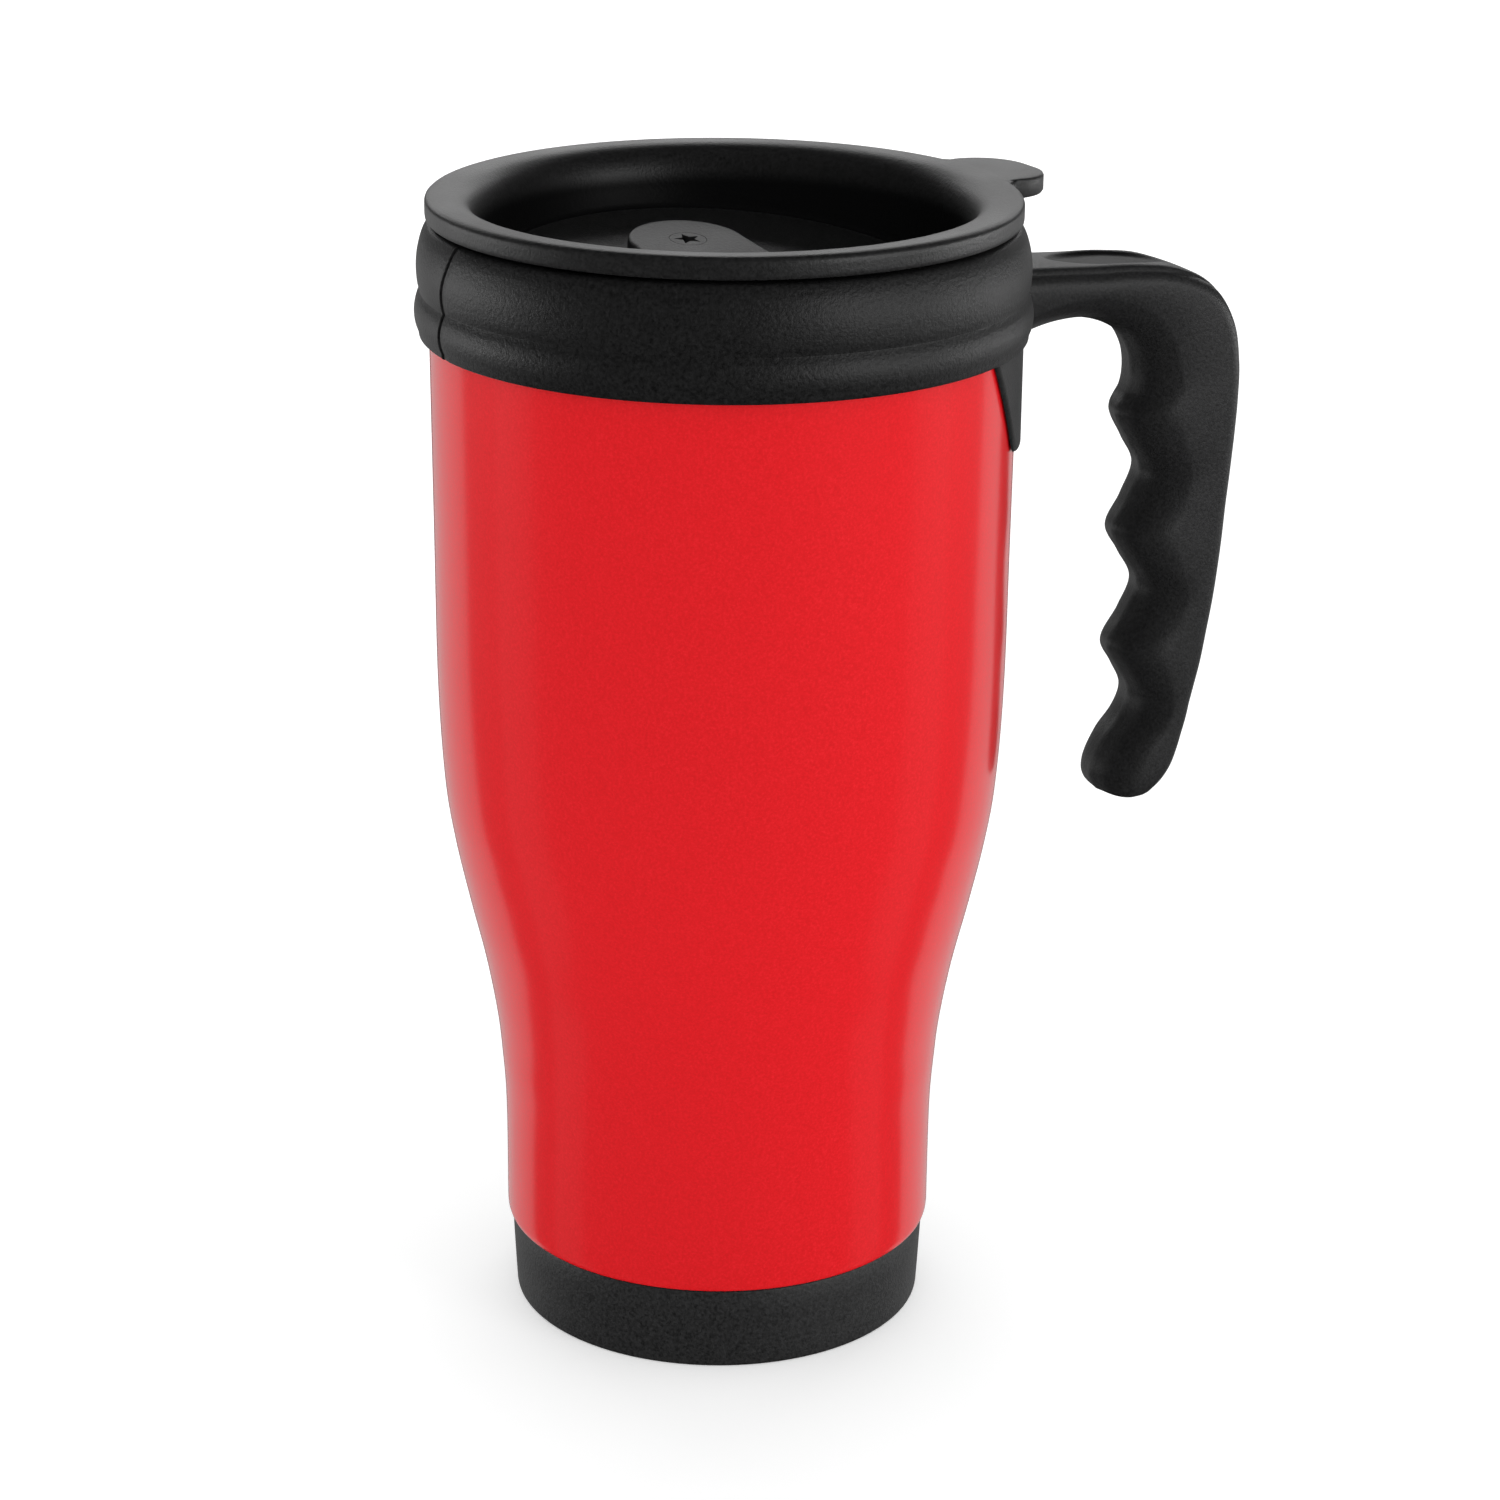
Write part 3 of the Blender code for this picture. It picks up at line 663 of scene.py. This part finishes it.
def finger_side(nose, half_width, weight, steps=14):
    """(depth, half width) points from the parting ridge round the finger side to the side face.

    In a valley the round stops short of the side face's direction, which leaves a soft crease.
    """
    last = math.radians(mix(90.0, 66.0, weight))
    points = []
    for step in range(steps + 1):
        turn = last * step / steps
        across = half_width * math.sin(turn) / math.sin(last)
        into = nose * (1 - math.cos(turn)) / (1 - math.cos(last))
        ridge = 0.24 * across * max(1 - across / 4.5, 0.0) ** 2
        points.append((into + ridge, across))
    return points


def spine_side(width, half_width, corner, rail, steps=6):
    """(depth, half width) points from the side face round the spine's corner to the mid-plane.

    rail is 1 on the arm, where a raised rail with a crease along each side carries the thumb rest.
    """
    crown = half_width - corner
    rounded = [(corner * (1 - math.sin(turn)), crown + corner * math.cos(turn))
               for turn in (math.radians(90 * step / steps) for step in range(steps + 1))]
    rounded += [(0.0, crown * (1 - 0.04 * step)) for step in range(1, 5)]
    railed = [(3.4, 7.4), (2.75, 7.34), (2.2, 7.18), (1.75, 6.92), (1.45, 6.6), (1.3, 6.4), (1.12, 6.32),
              (0.75, 6.22), (0.45, 5.98), (0.27, 5.6), (0.18, 5.2)]
    points = [(width - mix(a[0], b[0], rail), mix(a[1], b[1] * half_width / 7.4, rail))
              for a, b in zip(rounded, railed)]
    last_depth, last_across = points[-1]
    for step in range(1, CROWN_STEPS + 1):
        left = 1 - step / CROWN_STEPS
        points.append((width - (width - last_depth) * left ** 2, last_across * left))
    return points


def thumb_depth(x, t):
    """Depth of the oval thumb rest at a place on top of the arm: a steep border and a flat bottom."""
    middle, half_length, half_breadth = THUMB_REST
    distance = math.hypot((x - middle) / half_length, t / half_breadth)
    return THUMB_REST_DEPTH * smoothstep(0.0, 0.22, 1 - distance) * (1 - 0.25 * distance ** 2)


def handle_section(x0, z0, x1, z1, place):
    """One closed section of the handle, as (x, y, z) points."""
    start, end = Vector((x0, z0)), Vector((x1, z1))
    width = (end - start).length
    along = (end - start).normalized()
    weight = valley(place)
    on_arm = 1 - smoothstep(4.0, 8.0, place)
    to_tip = min(max((place - (LAST_RIB - 4)) / 4, 0.0), 1.0)
    half_width = HANDLE_HALF_WIDTH * math.sqrt(1 - 0.9 * to_tip ** 4)
    nose = mix(mix(7.6, 5.2, weight), 4.4, on_arm)
    nose = min(nose, width * 0.55)
    corner = min(2.4, width * 0.3, half_width * 0.6)
    rail = 1 - smoothstep(4.6, 6.8, place)
    side = finger_side(nose, half_width, weight) + spine_side(width, half_width, corner, rail)
    points = []
    for u, t in [*side, *((u, -t) for u, t in reversed(side[1:-1]))]:
        spot = start + along * u
        if u > width - 0.6 and place < 8:
            spot = start + along * (u - thumb_depth(spot.x, t))
        points.append((spot.x, t, spot.y))
    return points


def make_grip():
    flat = [(*inner, *outer, index) for index, (inner, outer) in enumerate(HANDLE_RIBS)]
    rows = [handle_section(*values) for values in smooth_through(flat, RIB_STEPS)]
    return skin(rows, caps=True)


def tongue_low(angle):
    """Height of the tongue edge at an angle from the handle: a sagging lower edge, then the flank."""
    corner_angle, corner_height = TONGUE_CORNER
    lower = TONGUE_BOTTOM + (corner_height - TONGUE_BOTTOM) * (angle / corner_angle) ** 2
    flank = corner_height + (angle - corner_angle) / TONGUE_FLANK_LEAN
    return min(0.5 * (lower + flank + math.hypot(lower - flank, 1.2)), TONGUE_TOP - 0.5)


def make_tongue():
    """Wide bent tongue with rounded edges along its lower edge and flanks."""
    steps = [TONGUE_HALF_ANGLE * part / 64 for part in range(65)]
    angles = [-angle for angle in reversed(steps[1:])] + steps
    inner = TONGUE_INNER_RADIUS
    thickness = TONGUE_OUTER_RADIUS - inner
    rows = []
    for degrees in angles:
        angle = math.radians(degrees)
        low = tongue_low(abs(degrees))
        height = TONGUE_TOP - low
        on_flank = smoothstep(TONGUE_CORNER[0] - 4, TONGUE_CORNER[0] + 2, abs(degrees))
        reach = min(mix(0.9, 1.5, on_flank), height * 0.6)
        edge = [(inner + thickness * math.sin(turn), low + reach * (1 - math.cos(turn)))
                for turn in (math.radians(30), math.radians(55), math.radians(75), math.radians(90))]
        section = [(inner, low), *edge, (inner + thickness, TONGUE_TOP), (inner, TONGUE_TOP)]
        rows.append([(r * math.cos(angle), r * math.sin(angle), z) for r, z in section])
    return skin(rows, caps=True)


def even_plate(half_angle, inner_radius, outer_radius, low, top, columns=32):
    """A bent plate of one height."""
    rows = []
    for column in range(columns + 1):
        angle = math.radians(half_angle * (2 * column / columns - 1))
        section = ((inner_radius, low), (outer_radius, low), (outer_radius, top), (inner_radius, top))
        rows.append([(r * math.cos(angle), r * math.sin(angle), z) for r, z in section])
    return skin(rows, caps=True)


def block(low, high):
    (x0, y0, z0), (x1, y1, z1) = low, high
    outline = [(x0, y0), (x1, y0), (x1, y1), (x0, y1)]
    return stacked([(outline, z0), (outline, z1)])


def make_handle():
    """Grip and arm, the bent tongue that bears on the shell, and the foot held behind the collar."""
    obj = add_object("handle_piece", make_grip())
    combine(obj, make_tongue(), "UNION")
    neck_low = SHELL_TOP + GAP + 0.1
    combine(obj, block((39.9, -HANDLE_HALF_WIDTH, neck_low), (44.0, HANDLE_HALF_WIDTH, 153.9)), "UNION")
    radii = (NECK_RADIUS + GAP, COLLAR_INNER_RADIUS - GAP)
    combine(obj, even_plate(FOOT_HALF_ANGLE, *radii, neck_low + 0.5, 158.0), "UNION")
    return finish_piece(obj, "handle", "body", HANDLE_PLASTIC, sharp=32.0)


# Lid

def tab_reach(degrees):
    """Radius of the lid's outline at an angle to the thumb tab. The tab's root has a small fillet."""
    angle = math.radians(abs(degrees))
    ray = Vector((math.cos(angle), math.sin(angle)))
    root = math.degrees(math.asin(TAB_SIDE / FLANGE_RADIUS))
    if abs(degrees) > root + 1.8:
        return FLANGE_RADIUS
    blend = 1.1 * max((root + 1.8 - abs(degrees)) / 1.8, 0.0) ** 2
    if abs(degrees) >= root:
        return FLANGE_RADIUS + blend
    centre = Vector((TAB_TIP - TAB_CORNER, TAB_SIDE - TAB_CORNER))
    if TAB_TIP * math.tan(angle) <= centre.y:
        return TAB_TIP / math.cos(angle)
    reach = centre.dot(ray)
    beyond = reach ** 2 - centre.length_squared + TAB_CORNER ** 2
    on_corner = reach + math.sqrt(max(beyond, 0.0))
    on_side = TAB_SIDE / math.sin(angle)
    return max(min(on_corner if beyond > 0 else on_side, on_side), FLANGE_RADIUS + min(blend, 1.1))


def lid_angles():
    angles = {360 * column / COLUMNS - 180 for column in range(1, COLUMNS + 1)}
    angles |= {part / 4 for part in range(-60, 61)}
    return sorted(angles)


def lid_edge(reach):
    """Outer edge of the flange, or of the tab where the outline reaches further out."""
    flange = [(41.2, LID_TOP - 0.03), (41.6, LID_TOP - 0.16), (41.88, LID_TOP - 0.4),
              (FLANGE_RADIUS, LID_TOP - 0.75), (FLANGE_RADIUS, LID_TOP - 1.4),
              (FLANGE_RADIUS, LID_TOP - 2.0), (FLANGE_RADIUS, LID_TOP - 2.5), (41.95, LID_TOP - 2.85),
              (41.8, FLANGE_UNDERSIDE)]
    high = LID_TOP - 0.06
    low = FLANGE_UNDERSIDE + 0.2
    tab = [(41.2, LID_TOP - 0.02), (41.6, LID_TOP - 0.04), (42.1, high), (reach - 0.6, high),
           (reach - 0.18, high - 0.12), (reach, high - 0.45), (reach, low + 0.35), (reach - 0.3, low),
           (41.8, FLANGE_UNDERSIDE)]
    weight = smoothstep(FLANGE_RADIUS + 0.1, FLANGE_RADIUS + 1.6, reach)
    last = len(flange) - 1
    edge = []
    for index, (a, b) in enumerate(zip(flange, tab)):
        radius = a[0] if index in (0, last) else a[0] + reach - FLANGE_RADIUS
        edge.append((mix(radius, b[0], weight), mix(a[1], b[1], weight)))
    return edge


def make_lid_body():
    """Rolled rim, recess wall and sloping floor in one skin; the thumb tab grows out of the flange."""
    roll = smooth_through([(40.6, LID_TOP), (39.4, LID_TOP - 0.02), (38.2, LID_TOP - 0.14),
                           (37.0, LID_TOP - 0.5), (36.0, LID_TOP - 1.25), (35.25, LID_TOP - 2.5),
                           (34.75, LID_TOP - 4.2), (THROAT_RADIUS, LID_TOP - 6.2)], 3)
    below = [(PLUG_RADIUS, FLANGE_UNDERSIDE), (PLUG_RADIUS, GROOVE[1]), (GROOVE_RADIUS, GROOVE[1]),
             (GROOVE_RADIUS, GROOVE[0]), (PLUG_RADIUS, GROOVE[0]),
             (PLUG_RADIUS, PLUG_BOTTOM + 0.5), (PLUG_RADIUS - 0.5, PLUG_BOTTOM),
             (RECESS_RADIUS + 0.3, PLUG_BOTTOM), (RECESS_RADIUS, PLUG_BOTTOM + 0.3)]
    fillet = 0.8
    rings = (0.0, 4.0, 8.0, 12.0, 16.0, 20.0, 24.0, 28.0, 31.0, 32.4)
    rows = []
    for degrees in lid_angles():
        angle = math.radians(degrees)
        slope = FLOOR_SLOPE * math.sin(angle)
        wall = RECESS_RADIUS + 0.28
        top = [(r, FLOOR_HEIGHT + slope * r) for r in rings]
        corner = FLOOR_HEIGHT + slope * wall
        top += [(wall - fillet * (1 - math.sin(a)), corner + fillet * (1 - math.cos(a)))
                for a in (0.0, math.radians(30), math.radians(60), math.radians(90))]
        under = [(RECESS_RADIUS, corner - FLOOR_THICKNESS)]
        under += [(r, FLOOR_HEIGHT - FLOOR_THICKNESS + slope * r) for r in reversed(rings)]
        section = top + roll[::-1] + lid_edge(tab_reach(degrees)) + below + under
        rows.append([(r * math.cos(angle), r * math.sin(angle), z) for r, z in section])
    obj = add_object("lid_body_piece", skin(rows, ring=True, wrap=False))
    drink = slot_levels(DRINK_HOLE_SIZE, [(0.5, 0.35), (0.0, -0.3), (0.0, -5.0)])
    combine(obj, placed(stacked(drink[::-1]), floor_matrix(-DRINK_HOLE_OFFSET)), "DIFFERENCE")
    vent_x, vent_y = VENT_PLACE
    for outline, y in ((arc((0, 0), PIVOT_HOLE_RADIUS, 0, 350, 35), PIVOT_OFFSET),
                       (arc((vent_x, 0), VENT_RADIUS, 0, 345, 23), vent_y)):
        through = stacked([(outline, -5.0), (outline, 5.0)])
        combine(obj, placed(through, floor_matrix(y)), "DIFFERENCE")
    return finish_piece(obj, "lid_body", "lid", LID_PLASTIC, sharp=48.0)


def slot_outline(width, depth):
    radius = depth / 2
    side = (width - depth) / 2
    return arc((side, 0), radius, -90, 90, 16) + arc((-side, 0), radius, 90, 270, 16)


def slot_levels(size, levels):
    """(outline, height) levels of an obround, each widened by its own amount."""
    return [(slot_outline(size[0] + 2 * grow, size[1] + 2 * grow), z) for grow, z in levels]


def make_lid_gasket():
    """Two lip ring in the groove of the lid's plug."""
    middle = (GROOVE[0] + GROOVE[1]) / 2
    lip = [(36.5, -1.3), (36.9, -1.15), (37.1, -0.8), (36.95, -0.45), (36.55, 0.0)]
    outer = [(r, middle + z) for r, z in lip] + [(r, middle - z) for r, z in reversed(lip[:-1])]
    obj = add_object("lid_gasket_piece", turned([(35.6, middle - 1.3), *outer, (35.6, middle + 1.3)]))
    return finish_piece(obj, "lid_gasket", "lid", SILICONE)


# Closure and its pin

def two_circle_outline(head_radius, end_radius, distance, steps=40):
    """Hull of a circle at the origin and a second one at the given distance along -Y."""
    lean = math.degrees(math.asin((end_radius - head_radius) / distance))
    head = arc((0, 0), head_radius, -lean, 180 + lean, steps)
    end = arc((0, -distance), end_radius, 180 + lean, 360 - lean, steps)
    return head + end


def star_outline(points, outer_radius, inner_radius):
    outline = []
    for index in range(2 * points):
        angle = math.pi * (index / points + 0.5)
        radius = inner_radius if index % 2 else outer_radius
        outline.append((radius * math.cos(angle), radius * math.sin(angle)))
    return outline


def make_swivel_closure():
    high = GAP + CLOSURE_THICKNESS
    edge = [(0.25, GAP), (0.0, GAP + 0.25), (0.0, high - 0.55), (0.06, high - 0.3), (0.22, high - 0.1),
            (0.5, high)]
    levels = []
    for inset, z in edge:
        radii = (CLOSURE_HEAD_RADIUS - inset, CLOSURE_END_RADIUS - inset)
        levels.append((two_circle_outline(*radii, CLOSURE_REACH), z))
    matrix = floor_matrix(PIVOT_OFFSET)
    obj = add_object("swivel_closure_piece", placed(stacked(levels), matrix))
    ridge = slot_levels(THUMB_RIDGE_SIZE, [(0.0, high - 0.5), (0.0, high + 0.7), (-0.2, high + 1.1),
                                           (-0.6, high + 1.3)])
    on_end = Matrix.Translation((0, THUMB_RIDGE_OFFSET - CLOSURE_REACH, 0))
    combine(obj, placed(placed(stacked(ridge), on_end), matrix), "UNION")
    bore = turned([(0, -1.0), (PIVOT_HOLE_RADIUS, -1.0), (PIVOT_HOLE_RADIUS, high - 1.0),
                   (2.75, high - 1.0), (2.75, high + 1.0), (0, high + 1.0)], columns=64, on_axis=True)
    combine(obj, placed(bore, matrix), "DIFFERENCE")
    return finish_piece(obj, "swivel_closure", "closure", CLOSURE_PLASTIC,
                        weighted=True)


def make_pivot_pin():
    """Snap-in pin with a flush head and a star recess in it."""
    top = GAP + CLOSURE_THICKNESS
    head_low = top - 1.0 + GAP
    barb = -FLOOR_THICKNESS - GAP
    shank = PIVOT_HOLE_RADIUS - GAP
    profile = [(0, barb - 1.3), (shank, barb - 1.3), (2.7, barb - 0.3), (2.7, barb), (shank, barb),
               (shank, head_low), (2.7, head_low), (2.7, top - 0.05), (2.65, top), (0, top)]
    matrix = floor_matrix(PIVOT_OFFSET)
    obj = add_object("pivot_pin_piece", placed(turned(profile, columns=64, on_axis=True), matrix))
    star = star_outline(*STAR)
    combine(obj, placed(stacked([(star, top - 1.2), (star, top + 1.0)]), matrix), "DIFFERENCE")
    return finish_piece(obj, "pivot_pin", "lid", CLOSURE_PLASTIC, weighted=True)


# Studio, in metres

CAMERA_AZIMUTH = -27.0        # degrees round the mug from its -Y side
CAMERA_PLACE = (0.0, -0.55566, 0.28075)
CAMERA_ANGLES = (19.392, 0.444, 0.579)          # pitch, yaw and roll
CAMERA_LENS = 96.3
CAMERA_SENSOR = 36.0
WORLD_FILL = 0.80             # for every ray but the glossy ones
WORLD_GLOSS = 0.0
FLOOR_GLOW = 0.29


def make_floor():
    """Large pale sheet under the mug."""
    material, nodes, links, shader = new_material("studio_floor", 0.9, specular=0.0)
    mottle = noise(nodes, links, 3.0)
    tones = [(0.3, (0.94, 0.94, 0.94)), (0.7, (0.96, 0.96, 0.96))]
    tone = ramp(nodes, links, mottle.outputs["Fac"], tones)
    links.new(tone.outputs["Color"], shader.inputs["Base Color"])
    shader.inputs["Emission Color"].default_value = (1.0, 1.0, 1.0, 1.0)
    shader.inputs["Emission Strength"].default_value = FLOOR_GLOW
    bm = bmesh.new()
    bmesh.ops.create_circle(bm, cap_ends=True, segments=96, radius=8.0)
    mesh = bpy.data.meshes.new("studio_floor")
    bm.to_mesh(mesh)
    bm.free()
    mesh.materials.append(material)
    obj = bpy.data.objects.new("studio_floor", mesh)
    bpy.context.scene.collection.objects.link(obj)
    obj.visible_glossy = False
    obj.visible_shadow = False
    return obj


def make_world():
    world = bpy.data.worlds.new("studio")
    world.use_nodes = True
    nodes, links = world.node_tree.nodes, world.node_tree.links
    background = nodes["Background"]
    background.inputs["Color"].default_value = (1.0, 1.0, 1.0, 1.0)
    path = nodes.new("ShaderNodeLightPath")
    level = nodes.new("ShaderNodeMapRange")
    level.inputs["To Min"].default_value = WORLD_FILL
    level.inputs["To Max"].default_value = WORLD_GLOSS
    links.new(path.outputs["Is Glossy Ray"], level.inputs["Value"])
    links.new(level.outputs["Result"], background.inputs["Strength"])
    bpy.context.scene.world = world


def add_light(name, azimuth, distance, height, size, power, aim=0.09):
    """Area light at an azimuth from the camera's side of the mug, in degrees to its right."""
    direction = math.radians(CAMERA_AZIMUTH + azimuth)
    data = bpy.data.lights.new(name, "AREA")
    data.shape = "RECTANGLE"
    data.size, data.size_y = size
    data.energy = power
    obj = bpy.data.objects.new(name, data)
    obj.location = (distance * math.sin(direction), -distance * math.cos(direction), height)
    towards = Vector((0, 0, aim)) - obj.location
    obj.rotation_euler = towards.to_track_quat("-Z", "Y").to_euler()
    bpy.context.scene.collection.objects.link(obj)
    return obj


def make_lights():
    """Soft boxes beside and behind the mug; the strips below the floor line show in the lacquer."""
    for side, name in ((-1, "left"), (1, "right")):
        add_light("side_" + name, side * 102.0, 1.1, 0.08, (0.8, 0.16), 2.0, aim=0.1)
        add_light("strip_" + name, side * 88.0, 1.4, -0.45, (0.5, 1.2), 0.25, aim=0.0)
        add_light("wing_" + name, side * 143.0, 1.4, -0.45, (1.2, 1.2), 2.4, aim=0.0)
    add_light("front_right", 52.0, 1.3, 0.3, (0.5, 0.4), 2.9, aim=0.1)
    add_light("back_panel", 180.0, 1.6, 0.8, (2.4, 0.7), 10.0, aim=0.15)


def make_camera():
    """The camera stands in front of the mug, turned about its axis by CAMERA_AZIMUTH."""
    data = bpy.data.cameras.new("camera")
    data.lens = CAMERA_LENS
    data.sensor_width = CAMERA_SENSOR
    data.clip_start = 0.01
    data.clip_end = 50.0
    obj = bpy.data.objects.new("camera", data)
    pitch, yaw, roll = (math.radians(angle) for angle in CAMERA_ANGLES)
    turn = Matrix.Rotation(math.radians(CAMERA_AZIMUTH), 4, "Z")
    aim = Matrix.Rotation(-yaw, 4, "Z")
    aim = aim @ Matrix.Rotation(math.pi / 2 - pitch, 4, "X")
    aim = aim @ Matrix.Rotation(roll, 4, "Z")
    obj.matrix_world = turn @ Matrix.Translation(CAMERA_PLACE) @ aim
    bpy.context.scene.collection.objects.link(obj)
    bpy.context.scene.camera = obj


def main():
    make_camera()
    make_outer_shell()
    make_inner_liner()
    make_neck_seal()
    make_base_cap()
    make_base_pad()
    make_collar()
    make_handle()
    make_lid_body()
    make_lid_gasket()
    make_swivel_closure()
    make_pivot_pin()
    make_floor()
    make_world()
    make_lights()
    bpy.context.scene.view_settings.view_transform = "Standard"


main()
